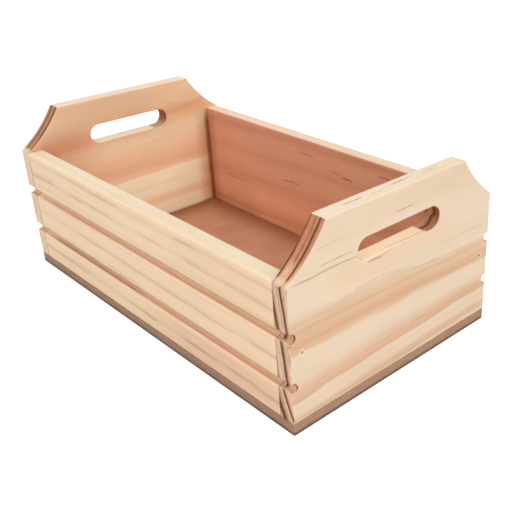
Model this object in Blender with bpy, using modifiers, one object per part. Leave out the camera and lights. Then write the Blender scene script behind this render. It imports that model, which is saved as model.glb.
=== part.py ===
"""Small pine crate with two hand-hold ends and an under-nailed fibreboard base.

The crate is a box of five boards held by steel brads:

  * two full-width end boards with concave shoulders and a stadium hand slot,
  * two long side boards that stand between the end boards,
  * one flat base that closes the box from below, flush with the walls,
  * one brad at each corner, through the end board into the side board,
  * twelve brads from below, through the base into the four walls.

Two round-nosed grooves run along each long side and on through the edges of
the end boards, so that each side board looks like three slats.

Frame: origin at the centre of the base's underside, +Z up, +X along the
crate's length.  Right is +X, left -X, front -Y and back +Y.  Units are metres.
"""

import math

import bmesh
import bpy
from mathutils import Matrix

MM = 0.001

# ---------------------------------------------------------------- crate
LENGTH = 320 * MM            # outside, along X
WIDTH = 180 * MM             # outside, along Y
END_HEIGHT = 128.5 * MM      # top of the end boards, base included
SIDE_HEIGHT = 98 * MM        # top of the side boards, base included
BOARD_T = 12 * MM            # thickness of end and side boards
BASE_T = 8 * MM
FIT_GAP = 0.3 * MM           # gap left between neighbouring pieces
WALL_Z = BASE_T + FIT_GAP    # underside of every wall board
SIDE_LENGTH = LENGTH - 2 * (BOARD_T + FIT_GAP)
END_BOARD_X = (LENGTH - BOARD_T) / 2    # middle of an end board's thickness
SIDE_BOARD_Y = (WIDTH - BOARD_T) / 2    # middle of a side board's thickness

ENDS = (("right", 1), ("left", -1))     # label, sign along X
SIDES = (("front", -1), ("back", 1))    # label, sign along Y

# ---------------------------------------------------------------- end boards
TOP_FLAT = 121 * MM          # straight top edge
SHOULDER_FOOT = SIDE_HEIGHT  # a shoulder starts level with the side boards' top
SHOULDER_SAG = 2.3 * MM      # how far the shoulder's arc sinks below its chord
SHOULDER_STEPS = 12
SLOT_LENGTH = 72 * MM        # hand slot, end to end
SLOT_HEIGHT = 15 * MM
SLOT_Z = 99.3 * MM           # height of the slot's centre line
SLOT_STEPS = 12              # per rounded end

# ---------------------------------------------------------------- grooves
NOSE_R = 3.175 * MM          # quarter-inch round-nosed cutter
NOSE_STEPS = 12
GROOVE_DEPTH = 4.3 * MM
GROOVE_COUNT = 2             # grooves share each side's height equally
GROOVE_REACH = 4 * MM        # how far a cutter stands out from the board's face
GROOVE_OVERRUN = 10 * MM     # how far a cutter runs past each end of the crate

# ---------------------------------------------------------------- eased edges
EDGE_EASE = 0.6 * MM         # sanded arris of a wall board
EDGE_EASE_STEPS = 3
TOP_EASE = 2.0 * MM          # rounder outer top edge of a side board
TOP_EASE_STEPS = 5
BASE_EASE = 0.5 * MM
BEVEL_SEGMENTS = 2
BEVEL_ANGLE = math.radians(50)   # only edges sharper than this are eased

# ---------------------------------------------------------------- brads
CORNER_BRAD_LENGTH = 28 * MM
BASE_BRAD_LENGTH = 22 * MM
BRAD_R = 0.6 * MM
BRAD_HEAD_R = 0.95 * MM
BRAD_HEAD_T = 0.5 * MM
BRAD_NECK = 0.2 * MM         # length of the taper from head to shank
BRAD_POINT = 2.2 * MM
BRAD_SET = 0.6 * MM          # how deep a head is set below the surface
BRAD_STEPS = 12
BORE_REACH = 1.0 * MM        # how far a bore stands out from the board's face
CORNER_BRAD_Y = 81 * MM      # distance of a corner brad from the centre plane
CORNER_BRAD_Z = 53.8 * MM    # about half-way up the side board
BRADS_PER_SIDE = 4           # base brads, sharing the crate's length equally
BRADS_PER_END = 2            # base brads, sharing the crate's width equally

# ---------------------------------------------------------------- mesh making
WELD_DISTANCE = 1e-6
FLAT_ANGLE = math.radians(1.0)   # flatter edges are dissolved
TURN_MERGE = 0.00001             # closes the poles and seam of a turned solid


# -------------------------------------------------------------------- set-up
def clear_scene():
    for item in list(bpy.data.objects):
        bpy.data.objects.remove(item, do_unlink=True)


def new_collection(name):
    collection = bpy.data.collections.new(name)
    bpy.context.scene.collection.children.link(collection)
    return collection


def new_material(name, colour, roughness, metallic=0.0):
    material = bpy.data.materials.new(name)
    material.use_nodes = True
    inputs = material.node_tree.nodes["Principled BSDF"].inputs
    inputs["Base Color"].default_value = (*colour, 1.0)
    inputs["Roughness"].default_value = roughness
    inputs["Metallic"].default_value = metallic
    material.diffuse_color = (*colour, 1.0)
    return material


def add_object(name, mesh, collection, parent, material):
    item = bpy.data.objects.new(name, mesh)
    collection.objects.link(item)
    item.parent = parent
    if material is not None:
        mesh.materials.append(material)
    return item


# ------------------------------------------------------------------ outlines
def arc(centre_x, centre_y, radius, start, end, steps):
    """Points on a circle from angle start to angle end, both included."""
    angles = [start + (end - start) * i / steps for i in range(steps + 1)]
    return [(centre_x + radius * math.cos(angle), centre_y + radius * math.sin(angle))
            for angle in angles]


def sagging_arc(start, end, sag, steps):
    """Arc that sinks by sag to the left of the direction start to end.

    The arc must not cross the -X direction seen from its centre, where atan2 jumps.
    """
    dx, dy = end[0] - start[0], end[1] - start[1]
    chord = math.hypot(dx, dy)
    radius = (chord * chord / 4 + sag * sag) / (2 * sag)
    left_x, left_y = -dy / chord, dx / chord
    centre_x = (start[0] + end[0]) / 2 - left_x * (radius - sag)
    centre_y = (start[1] + end[1]) / 2 - left_y * (radius - sag)
    start_angle = math.atan2(start[1] - centre_y, start[0] - centre_x)
    end_angle = math.atan2(end[1] - centre_y, end[0] - centre_x)
    return arc(centre_x, centre_y, radius, start_angle, end_angle, steps)


def mirrored(points):
    """The (y, z) points mirrored in Y, reversed so that they still run the same way round."""
    return [(-y, z) for y, z in reversed(points)]


def end_board_outline():
    """Counter-clockwise outline of an end board in the Y-Z plane."""
    foot = (WIDTH / 2, SHOULDER_FOOT)
    top = (TOP_FLAT / 2, END_HEIGHT)
    back_half = [(WIDTH / 2, WALL_Z)] + sagging_arc(foot, top, SHOULDER_SAG, SHOULDER_STEPS)
    return back_half + mirrored(back_half)


def hand_slot_outline():
    radius = SLOT_HEIGHT / 2
    centre = SLOT_LENGTH / 2 - radius
    return (arc(centre, SLOT_Z, radius, -math.pi / 2, math.pi / 2, SLOT_STEPS)
            + arc(-centre, SLOT_Z, radius, math.pi / 2, 3 * math.pi / 2, SLOT_STEPS))


def side_board_outline(sign):
    """Cross-section of a side board in the Y-Z plane, with its four edges rounded."""
    outer, inner = WIDTH / 2, WIDTH / 2 - BOARD_T
    quarter = math.pi / 2
    corners = (
        # y, z, radius, first quarter turn, steps
        (inner + EDGE_EASE, WALL_Z + EDGE_EASE, EDGE_EASE, 2, EDGE_EASE_STEPS),
        (outer - EDGE_EASE, WALL_Z + EDGE_EASE, EDGE_EASE, 3, EDGE_EASE_STEPS),
        (outer - TOP_EASE, SIDE_HEIGHT - TOP_EASE, TOP_EASE, 0, TOP_EASE_STEPS),
        (inner + EDGE_EASE, SIDE_HEIGHT - EDGE_EASE, EDGE_EASE, 1, EDGE_EASE_STEPS),
    )
    points = []
    for y, z, radius, turn, steps in corners:
        points += arc(y, z, radius, turn * quarter, (turn + 1) * quarter, steps)
    return mirrored(points) if sign < 0 else points


def groove_outline(sign, groove_z):
    """Section of the round-nosed cutter, reaching out past the board's face."""
    centre = WIDTH / 2 - GROOVE_DEPTH + NOSE_R
    beyond = WIDTH / 2 + GROOVE_REACH
    nose = arc(0.0, 0.0, NOSE_R, math.pi / 2, 3 * math.pi / 2, NOSE_STEPS)
    points = [(centre + y, groove_z + z) for y, z in nose]
    points += [(beyond, groove_z - NOSE_R), (beyond, groove_z + NOSE_R)]
    return mirrored(points) if sign < 0 else points


def brad_profile(length):
    """Flat-headed brad, head face at height 0, point downwards."""
    return [
        (0.0, 0.0),
        (BRAD_HEAD_R, 0.0),
        (BRAD_HEAD_R, -BRAD_HEAD_T),
        (BRAD_R, -BRAD_HEAD_T - BRAD_NECK),
        (BRAD_R, -length + BRAD_POINT),
        (0.0, -length),
    ]


def bore_profile(length):
    """The hole for a brad: head and shank grown by the fit gap, flat-bottomed, open on top."""
    head_r, shank_r = BRAD_HEAD_R + FIT_GAP, BRAD_R + FIT_GAP
    top = BRAD_SET + BORE_REACH
    bottom = -length - FIT_GAP
    return [
        (0.0, top),
        (head_r, top),
        (head_r, -BRAD_HEAD_T - FIT_GAP),
        (shank_r, -BRAD_HEAD_T - BRAD_NECK - FIT_GAP),
        (shank_r, bottom),
        (0.0, bottom),
    ]


# -------------------------------------------------------------- solid makers
def outline_curve(name, loops, thickness):
    """Filled flat curve; loops inside the first one become holes."""
    curve = bpy.data.curves.new(name, "CURVE")
    curve.dimensions = "2D"
    curve.fill_mode = "BOTH"
    curve.extrude = thickness / 2
    for loop in loops:
        spline = curve.splines.new("POLY")
        spline.points.add(len(loop) - 1)
        for point, (x, y) in zip(spline.points, loop):
            point.co = (x, y, 0.0, 1.0)
        spline.use_cyclic_u = True
    return curve


def tidy_mesh(mesh):
    """Weld the curve's separate faces into one solid and merge the flat ones."""
    solid = bmesh.new()
    solid.from_mesh(mesh)
    bmesh.ops.remove_doubles(solid, verts=solid.verts, dist=WELD_DISTANCE)
    bmesh.ops.dissolve_limit(solid, angle_limit=FLAT_ANGLE, verts=solid.verts,
                             edges=solid.edges)
    bmesh.ops.recalc_face_normals(solid, faces=solid.faces)
    solid.to_mesh(mesh)
    solid.free()


def plate(name, loops, thickness, collection, parent=None, material=None):
    """A flat filled outline in local X-Y, with holes, made thick along local Z."""
    curve = outline_curve(name + "_outline", loops, thickness)
    guide = bpy.data.objects.new(name + "_outline", curve)
    collection.objects.link(guide)
    # local x, y, z point along the crate's Y, Z, X
    guide.rotation_euler = (math.pi / 2, 0.0, math.pi / 2)
    bpy.context.view_layer.update()
    graph = bpy.context.evaluated_depsgraph_get()
    mesh = bpy.data.meshes.new_from_object(guide.evaluated_get(graph))
    mesh.name = name
    tidy_mesh(mesh)
    board = add_object(name, mesh, collection, parent, material)
    board.matrix_world = guide.matrix_world.copy()
    bpy.data.objects.remove(guide, do_unlink=True)
    bpy.data.curves.remove(curve)
    return board


def turned(name, profile, collection, parent=None, material=None):
    """A turned solid: the profile (radius, height) runs down the outside, top to bottom."""
    mesh = bpy.data.meshes.new(name)
    wire = bmesh.new()
    verts = [wire.verts.new((radius, 0.0, height)) for radius, height in profile]
    for upper, lower in zip(verts, verts[1:]):
        wire.edges.new((upper, lower))
    wire.to_mesh(mesh)
    wire.free()
    solid = add_object(name, mesh, collection, parent, material)
    screw = solid.modifiers.new("turn", "SCREW")
    screw.angle = 2 * math.pi
    screw.steps = BRAD_STEPS
    screw.render_steps = BRAD_STEPS
    screw.axis = "Z"
    screw.use_merge_vertices = True
    screw.merge_threshold = TURN_MERGE
    screw.use_smooth_shade = True
    return solid


def ease_edges(board, width):
    bevel = board.modifiers.new("eased_edges", "BEVEL")
    bevel.width = width
    bevel.segments = BEVEL_SEGMENTS
    bevel.limit_method = "ANGLE"
    bevel.angle_limit = BEVEL_ANGLE
    bevel.use_clamp_overlap = True
    board.modifiers.new("faceted", "TRIANGULATE")


def as_cutter(solid):
    solid.hide_render = True
    solid.display_type = "WIRE"


def cut_all(board, board_cutters, cutters):
    """One Boolean per board, taking away every cutter that bites into it."""
    bench = bpy.data.collections.new("cutters_of_" + board.name)
    cutters.children.link(bench)
    for cutter in board_cutters:
        bench.objects.link(cutter)
    boolean = board.modifiers.new("milled_and_drilled", "BOOLEAN")
    boolean.operation = "DIFFERENCE"
    boolean.solver = "EXACT"
    boolean.operand_type = "COLLECTION"
    boolean.collection = bench


# -------------------------------------------------------------------- boards
def make_base(parts, root):
    """One flat board under all four walls."""
    bpy.ops.mesh.primitive_cube_add(size=1.0)
    base = bpy.context.active_object
    base.name = base.data.name = "base_panel"
    for collection in list(base.users_collection):
        collection.objects.unlink(base)
    parts.objects.link(base)
    base.data.transform(Matrix.Diagonal((LENGTH, WIDTH, BASE_T, 1.0)))
    base.location = (0.0, 0.0, BASE_T / 2)
    base.parent = root
    base.data.materials.append(new_material("fibreboard_base", (0.38, 0.24, 0.16),
                                            roughness=0.70))
    ease_edges(base, BASE_EASE)
    return base


def make_ends(parts, root):
    pine = new_material("pine_end_board", (0.83, 0.64, 0.44), roughness=0.55)
    ends = {}
    for end, sign in ENDS:
        board = plate("end_panel_" + end, [end_board_outline(), hand_slot_outline()],
                      BOARD_T, parts, root, pine)
        board.location = (sign * END_BOARD_X, 0.0, 0.0)
        ease_edges(board, EDGE_EASE)
        ends[end] = board
    return ends


def make_sides(parts, root):
    pine = new_material("pine_side_board", (0.85, 0.66, 0.45), roughness=0.55)
    return {side: plate("side_panel_" + side, [side_board_outline(sign)],
                        SIDE_LENGTH, parts, root, pine)
            for side, sign in SIDES}


# --------------------------------------------------------- grooves and brads
def add_grooves(cutters, bites):
    """Each cutter runs the crate's whole length, through end boards and side board."""
    for side, sign in SIDES:
        for i in range(1, GROOVE_COUNT + 1):
            z = SIDE_HEIGHT * i / (GROOVE_COUNT + 1)
            cutter = plate("groove_cutter_%s_%d" % (side, i), [groove_outline(sign, z)],
                           LENGTH + 2 * GROOVE_OVERRUN, cutters)
            as_cutter(cutter)
            for label in ("right", "left", side):
                bites[label].append(cutter)


def evenly_spaced(span, count):
    """Middles of count equal parts of a span centred on zero."""
    return [span * ((i + 0.5) / count - 0.5) for i in range(count)]


def brad_table():
    """Rows of name, length, location, rotation and labels of the two boards joined."""
    rows = []
    for end, sign_x in ENDS:
        for side, sign_y in SIDES:
            rows.append(("corner_brad_%s_%s" % (end, side), CORNER_BRAD_LENGTH,
                         (sign_x * (LENGTH / 2 - BRAD_SET), sign_y * CORNER_BRAD_Y,
                          CORNER_BRAD_Z),
                         (0.0, sign_x * math.pi / 2, 0.0), (end, side)))

    walls = [(side, [(x, sign * SIDE_BOARD_Y) for x in evenly_spaced(LENGTH, BRADS_PER_SIDE)])
             for side, sign in SIDES]
    walls += [(end, [(sign * END_BOARD_X, y) for y in evenly_spaced(WIDTH, BRADS_PER_END)])
              for end, sign in ENDS]
    upwards = (math.pi, 0.0, 0.0)
    for wall, places in walls:
        for i, (x, y) in enumerate(places, start=1):
            rows.append(("base_brad_%s_%d" % (wall, i), BASE_BRAD_LENGTH,
                         (x, y, BRAD_SET), upwards, ("base", wall)))
    return rows


def add_brads(parts, root, cutters, bites):
    """Every brad, with the bore it sits in."""
    steel = new_material("bright_brad_steel", (0.55, 0.55, 0.56), roughness=0.35,
                         metallic=1.0)
    for name, length, location, rotation, labels in brad_table():
        brad = turned(name, brad_profile(length), parts, root, steel)
        bore = turned(name + "_bore", bore_profile(length), cutters)
        for solid in (brad, bore):
            solid.location = location
            solid.rotation_euler = rotation
        as_cutter(bore)
        for label in labels:
            bites[label].append(bore)


def build():
    clear_scene()
    parts = new_collection("apple_crate")
    cutters = new_collection("cutters")
    root = bpy.data.objects.new("crate_origin", None)
    parts.objects.link(root)

    boards = {"base": make_base(parts, root)}
    boards.update(make_ends(parts, root))
    boards.update(make_sides(parts, root))

    bites = {label: [] for label in boards}    # the cutters that bite into each board
    add_grooves(cutters, bites)
    add_brads(parts, root, cutters, bites)
    for label, board in boards.items():
        cut_all(board, bites[label], cutters)


build()
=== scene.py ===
"""Looks for the pine crate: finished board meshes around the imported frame, procedural pine, fibreboard and steel,
a pale floor, soft studio light and the camera.  Metres, in the same frame as the CAD."""
import math

import bmesh
import bpy
import numpy as np
from mathutils import Matrix, Vector, noise
from mathutils.geometry import delaunay_2d_cdt
from mathutils.kdtree import KDTree


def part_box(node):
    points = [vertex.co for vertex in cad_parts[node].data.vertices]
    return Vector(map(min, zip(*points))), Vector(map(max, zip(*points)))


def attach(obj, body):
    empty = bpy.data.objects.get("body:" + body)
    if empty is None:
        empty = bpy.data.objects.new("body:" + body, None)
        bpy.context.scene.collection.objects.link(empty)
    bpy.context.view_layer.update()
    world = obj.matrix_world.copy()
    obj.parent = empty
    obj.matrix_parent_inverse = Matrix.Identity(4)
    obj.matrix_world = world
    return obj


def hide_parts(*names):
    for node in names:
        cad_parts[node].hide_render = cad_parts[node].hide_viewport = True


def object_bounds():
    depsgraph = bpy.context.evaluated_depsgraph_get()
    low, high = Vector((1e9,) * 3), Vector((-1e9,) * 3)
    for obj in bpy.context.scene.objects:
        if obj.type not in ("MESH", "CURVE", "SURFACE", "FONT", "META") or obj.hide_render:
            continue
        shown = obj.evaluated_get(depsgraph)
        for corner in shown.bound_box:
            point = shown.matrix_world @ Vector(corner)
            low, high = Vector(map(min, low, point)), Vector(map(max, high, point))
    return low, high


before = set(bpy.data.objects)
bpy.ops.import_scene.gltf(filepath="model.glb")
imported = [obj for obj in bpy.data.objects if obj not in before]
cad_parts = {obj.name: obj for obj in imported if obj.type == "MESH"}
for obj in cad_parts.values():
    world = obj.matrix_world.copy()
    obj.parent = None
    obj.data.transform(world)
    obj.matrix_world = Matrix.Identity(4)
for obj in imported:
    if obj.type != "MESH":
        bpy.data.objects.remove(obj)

CAD_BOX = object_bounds()
MM = 0.001
SKY_LOW, SKY_HIGH, KEY, SOFT_KEY, FILL = 0.03, 1.42, 3.2, 6.2, 2.8

# ------------------------------------------------------------------ sizes, read from the frame
LO, HI = CAD_BOX
L2, W2 = (HI.x - LO.x) / 2, (HI.y - LO.y) / 2
TOP = HI.z
base_lo, base_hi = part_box("base_panel")
BASE_T = base_hi.z
er_lo, er_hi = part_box("end_panel_right")
el_lo, el_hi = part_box("end_panel_left")
sf_lo, sf_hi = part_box("side_panel_front")
sb_lo, sb_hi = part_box("side_panel_back")
END_T = er_hi.x - er_lo.x
SIDE_T = sf_hi.y - sf_lo.y
SIDE_TOP = sf_hi.z
TIGHT = 0.05 * MM            # how nearly a finished board touches its neighbour
TOP_FLAT, SAG = 121 * MM, 2.3 * MM
SLOT_L, SLOT_H, SLOT_Z = 72 * MM, 15 * MM, 99.3 * MM
GROOVE_R, GROOVE_D = 3.175 * MM, 4.3 * MM
GROOVE_Z = [SIDE_TOP / 3, SIDE_TOP * 2 / 3]
HALF_X = L2 * 1000


# ------------------------------------------------------------------ small geometry helpers
def arc(cx, cy, r, a0, a1, n):
    return [(cx + r * math.cos(a0 + (a1 - a0) * i / n), cy + r * math.sin(a0 + (a1 - a0) * i / n)) for i in range(n + 1)]


def sagging_arc(p, q, sag, n):
    dx, dy = q[0] - p[0], q[1] - p[1]
    c = math.hypot(dx, dy)
    r = (c * c / 4 + sag * sag) / (2 * sag)
    nx, ny = -dy / c, dx / c
    cx, cy = (p[0] + q[0]) / 2 - nx * (r - sag), (p[1] + q[1]) / 2 - ny * (r - sag)
    a0, a1 = math.atan2(p[1] - cy, p[0] - cx), math.atan2(q[1] - cy, q[0] - cx)
    if a1 - a0 > math.pi:
        a1 -= 2 * math.pi
    if a0 - a1 > math.pi:
        a1 += 2 * math.pi
    return arc(cx, cy, r, a0, a1, n)


def round_corners(loop, radii, n=3):
    """Rounds the corner at each vertex whose radius isn't zero."""
    out = []
    m = len(loop)
    for i, (p, r) in enumerate(zip(loop, radii)):
        if r <= 0:
            out.append(p)
            continue
        a, b = Vector(loop[i - 1]), Vector(loop[(i + 1) % m])
        p = Vector(p)
        u, v = (a - p).normalized(), (b - p).normalized()
        half = math.acos(max(-1, min(1, u.dot(v)))) / 2
        d = min(r / math.tan(half), (a - p).length * 0.49, (b - p).length * 0.49)
        r = d * math.tan(half)
        c = p + (u + v).normalized() * (r / math.sin(half))
        s, e = p + u * d - c, p + v * d - c
        a0, a1 = math.atan2(s.y, s.x), math.atan2(e.y, e.x)
        if a1 - a0 > math.pi:
            a1 -= 2 * math.pi
        if a0 - a1 > math.pi:
            a1 += 2 * math.pi
        out += arc(c.x, c.y, r, a0, a1, n)
    return out


def resample(loop, step):
    """Adds points on long straight stretches, so that a wall has even quads."""
    out = []
    m = len(loop)
    for i in range(m):
        p, q = Vector(loop[i]), Vector(loop[(i + 1) % m])
        d = (q - p).length
        if d < 1e-7:
            continue
        k = max(1, int(round(d / step)))
        out += [tuple(p.lerp(q, j / k)) for j in range(k)]
    return out


def miters(loop):
    """Unit-offset vectors to the left of travel, which is into the material."""
    p = np.array(loop)
    d = np.roll(p, -1, 0) - p
    d /= np.linalg.norm(d, axis=1)[:, None]
    n1 = np.stack([-d[:, 1], d[:, 0]], 1)
    n0 = np.roll(n1, 1, 0)
    s = 1 + (n0 * n1).sum(1)
    return (n0 + n1) / np.maximum(s, 0.35)[:, None]


def inside(points, loop):
    x, y = points[:, 0], points[:, 1]
    p = np.array(loop)
    q = np.roll(p, -1, 0)
    hit = np.zeros(len(points), bool)
    for (x0, y0), (x1, y1) in zip(p, q):
        c = (y0 > y) != (y1 > y)
        with np.errstate(divide="ignore", invalid="ignore"):
            xi = (x1 - x0) * (y - y0) / (y1 - y0) + x0
        hit ^= c & (x < xi)
    return hit


def ease(seed, amount=0.25):
    """A hand-sanded arris is never even: a slow variation along the edge."""
    def f(x, y, z):
        return 1 + amount * noise.noise(Vector((x, y, z)) * 40 + Vector((seed, 0, 0))) + amount * 0.6 * noise.noise(Vector((x, y, z)) * 160 + Vector((0, seed, 0)))
    return f


def slab(name, loops, h, to_world, radius, grid, station, seed, refine=()):
    """A board: outline loops (first outer and counter-clockwise, then holes clockwise), thick from -h to +h,
    rims rounded by radius(x, y, side), caps filled with an even dense mesh.  to_world maps (x, y, z) to the crate."""
    wob = ease(seed)
    rim_steps = 4
    verts, faces, edge = [], [], []
    ring_index = []          # per loop: list of rings of vertex indices, front cap to back cap
    cap_rings = {1: [], -1: []}
    for loop in loops:
        pts = np.array(loop)
        mit = miters(loop)
        # at a tight convex corner the rim mustn't be wider than the corner's own radius
        fwd, bwd = np.roll(pts, -1, 0) - pts, pts - np.roll(pts, 1, 0)
        turn = np.arctan2(bwd[:, 0] * fwd[:, 1] - bwd[:, 1] * fwd[:, 0], (fwd * bwd).sum(1))
        tight = np.minimum(np.linalg.norm(fwd, axis=1), np.linalg.norm(bwd, axis=1)) / np.maximum(turn, 1e-4) * 0.92
        rings = []
        for side in (1, -1):
            rad = np.array([radius(x, y, side) * wob(x, y, side * h) for x, y in loop])
            rad = np.minimum(rad, np.maximum(tight, 0.08 * MM))
            part = []
            part.append((pts + mit * np.minimum(rad + 0.9 * MM, np.maximum(tight, rad + 0.04 * MM))[:, None], np.full(len(pts), side * h), 0.25))
            for k in range(rim_steps, -1, -1):
                th = k / rim_steps * math.pi / 2
                off = rad * (1 - math.cos(th))
                z = side * (h - rad * (1 - math.sin(th)))
                part.append((pts + mit * off[:, None], z, 1.0))
            if side == 1:
                rings += part
                span = 2 * h
                k = max(2, int(round(span / station)))
                for j in range(1, k):
                    z = h - span * j / k
                    rings.append((pts.copy(), np.full(len(pts), z), None))
            else:
                rings += part[::-1]
        idx = []
        for xy, z, e in rings:
            start = len(verts)
            for (x, y), zz in zip(xy, z):
                verts.append((x, y, zz))
                edge.append(e if e is not None else 0.0)
            idx.append(list(range(start, start + len(xy))))
        ring_index.append(idx)
        cap_rings[1].append(idx[0])
        cap_rings[-1].append(idx[-1])
        n = len(loop)
        for a, b in zip(idx, idx[1:]):
            for i in range(n):
                j = (i + 1) % n
                faces.append((a[i], b[i], b[j], a[j]))
    base = np.array(verts)
    for side in (1, -1):
        ring_loops = [[tuple(base[i][:2]) for i in ring] for ring in cap_rings[side]]
        flat = [v for r in ring_loops for v in r]
        ids = [i for r in cap_rings[side] for i in r]
        edges, o = [], 0
        for r in ring_loops:
            edges += [(o + i, o + (i + 1) % len(r)) for i in range(len(r))]
            o += len(r)
        lo, hi = np.min(flat, 0), np.max(flat, 0)
        nx, ny = int((hi[0] - lo[0]) / grid), int((hi[1] - lo[1]) / grid)
        gx, gy = np.meshgrid(lo[0] + (np.arange(nx) + 0.5) * (hi[0] - lo[0]) / max(nx, 1), lo[1] + (np.arange(ny) + 0.5) * (hi[1] - lo[1]) / max(ny, 1))
        gx[1::2] += 0.25 * grid
        gx[0::2] -= 0.25 * grid
        gp = np.stack([gx.ravel(), gy.ravel()], 1)
        extra = []
        for cx, cy, sd in refine:
            if sd == side:
                for rr, m in ((1.0, 14), (1.45, 18), (2.0, 20), (2.7, 22), (3.5, 24)):
                    extra += [(cx + rr * MM * math.cos(2 * math.pi * (i + 0.5 * (m % 4 == 0)) / m), cy + rr * MM * math.sin(2 * math.pi * (i + 0.5 * (m % 4 == 0)) / m)) for i in range(m)]
                gp = gp[np.hypot(gp[:, 0] - cx, gp[:, 1] - cy) > 4.2 * MM]
        if extra:
            gp = np.concatenate([gp, np.array(extra)])
        keep = inside(gp, ring_loops[0])
        for r in ring_loops[1:]:
            keep &= ~inside(gp, r)
        kd = KDTree(len(flat))
        for i, v in enumerate(flat):
            kd.insert((v[0], v[1], 0), i)
        kd.balance()
        gp = [g for g, k in zip(gp, keep) if k and kd.find((g[0], g[1], 0))[2] > 0.55 * grid]
        cv = [Vector(v) for v in flat] + [Vector(g) for g in gp]
        ov, oe, of, orig, _, _ = delaunay_2d_cdt(cv, edges, [], 1, 1e-7)
        index = {}
        for i, v in enumerate(ov):
            src = [k for k in orig[i] if k < len(ids)]
            if src:
                index[i] = ids[src[0]]
            else:
                index[i] = len(verts)
                verts.append((v.x, v.y, side * h))
                edge.append(0.0)
        if of:
            cen = np.array([[sum(ov[i].x for i in f) / 3, sum(ov[i].y for i in f) / 3] for f in of])
            ok = inside(cen, ring_loops[0])
            for r in ring_loops[1:]:
                ok &= ~inside(cen, r)
            for f, k in zip(of, ok):
                if k:
                    f = [index[i] for i in f]
                    faces.append(tuple(f) if side == 1 else tuple(reversed(f)))
    world = [to_world(v) for v in verts]
    mesh = bpy.data.meshes.new(name)
    mesh.from_pydata(world, [], faces)
    mesh.validate()
    att = mesh.attributes.new("edge", "FLOAT", "POINT")
    att.data.foreach_set("value", np.array(edge, np.float32)[: len(mesh.vertices)])
    bm = bmesh.new()
    bm.from_mesh(mesh)
    bmesh.ops.recalc_face_normals(bm, faces=bm.faces)
    bm.to_mesh(mesh)
    bm.free()
    ob = bpy.data.objects.new(name, mesh)
    bpy.context.scene.collection.objects.link(ob)
    mesh.shade_smooth()
    return ob


def relief(ob, f):
    """Moves each vertex along its normal by f(position, normal), in metres."""
    me = ob.data
    normals = [v.normal.copy() for v in me.vertices]
    for v, n in zip(me.vertices, normals):
        v.co += n * f(v.co, n)
    me.update()


def mark(ob, marks=()):
    """Attributes for the material: groove is 1 on the milled walls, strongest near the lips; edge also on the grooves'
    lower lips, where it carries a painted highlight; crush is the pale ring round a punched brad."""
    me = ob.data
    groove = np.zeros(len(me.vertices), np.float32)
    crush = np.zeros(len(me.vertices), np.float32)
    edge = np.zeros(len(me.vertices), np.float32)
    me.attributes["edge"].data.foreach_get("value", edge)
    for i, v in enumerate(me.vertices):
        c = v.co
        d = W2 - abs(c.y)
        for z in GROOVE_Z:
            if abs(c.z - z) < GROOVE_R + 0.1 * MM and 0.2 * MM < d < GROOVE_D + 0.1 * MM:
                deep = min(1.0, max(0.0, (d - 1.9 * MM) / (2.0 * MM)))
                groove[i] = min(1.0, (d - 0.2 * MM) / (0.7 * MM)) * (1.0 - 0.62 * deep * deep * (3 - 2 * deep))
            # the grooves' lower lips get a high edge value: a painted highlight along them
            if d < 0.5 * MM and -0.9 * MM < c.z - (z - GROOVE_R) < 0.1 * MM:
                edge[i] = 1.6
        for y, z, sign in marks:
            if c.x * sign > 0:
                r = math.hypot(c.y - y, c.z - z) / MM
                if r < 3:
                    crush[i] = max(crush[i], min(1.0, max(0.0, (2.2 - r) / 0.9)))
    me.attributes["edge"].data.foreach_set("value", edge)
    me.attributes.new("groove", "FLOAT", "POINT").data.foreach_set("value", groove)
    me.attributes.new("crush", "FLOAT", "POINT").data.foreach_set("value", crush)


# ------------------------------------------------------------------ outlines
def groove_bite(outer, z, n=12):
    """Points of one groove on a right-hand edge, going up."""
    c = outer - GROOVE_D + GROOVE_R
    nose = arc(0, 0, GROOVE_R, -math.pi / 2, -3 * math.pi / 2, n)
    return [(outer, z - GROOVE_R)] + [(c + a, z + b) for a, b in nose] + [(outer, z + GROOVE_R)]


def end_outline():
    zb = BASE_T + TIGHT
    f = TOP_FLAT / 2
    shoulder = sagging_arc((W2, SIDE_TOP), (f, TOP), SAG, 26)
    right = [(W2, zb)]
    radii = [0.6 * MM]
    for z in GROOVE_Z:
        g = groove_bite(W2, z)
        right += g
        radii += [0.35 * MM] + [0] * (len(g) - 2) + [0.6 * MM]
    right += shoulder
    radii += [1.5 * MM] + [0] * (len(shoulder) - 2) + [1.0 * MM]
    loop = right + [(-a, b) for a, b in reversed(right)]
    radii = radii + radii[::-1]
    loop = round_corners(loop, radii)
    return resample(loop, 1.6 * MM)


def slot_outline():
    r = SLOT_H / 2
    c = SLOT_L / 2 - r
    pts = arc(c, SLOT_Z, r, math.pi / 2, -math.pi / 2, 18) + arc(-c, SLOT_Z, r, -math.pi / 2, -3 * math.pi / 2, 18)
    return resample(pts, 1.6 * MM)


def side_outline(sign):
    outer, inner, zb = W2, W2 - SIDE_T, BASE_T + TIGHT
    loop, radii = [(inner, zb), (outer, zb)], [0.2 * MM, 0.7 * MM]
    for z in GROOVE_Z:
        g = groove_bite(outer, z)
        loop += g
        radii += [0.35 * MM] + [0] * (len(g) - 2) + [0.9 * MM]
    loop += [(outer, SIDE_TOP), (inner, SIDE_TOP)]
    radii += [2.1 * MM, 0.8 * MM]
    loop = round_corners(loop, radii, 5)
    if sign < 0:
        loop = [(-a, b) for a, b in reversed(loop)]
    return resample(loop, 1.5 * MM)


def base_outline():
    r = 0.9 * MM
    loop = round_corners([(-L2, -W2), (L2, -W2), (L2, W2), (-L2, W2)], [r] * 4, 4)
    return resample(loop, 3 * MM)


# ------------------------------------------------------------------ boards
brads = {n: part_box(n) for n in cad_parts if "brad" in n}


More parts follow.
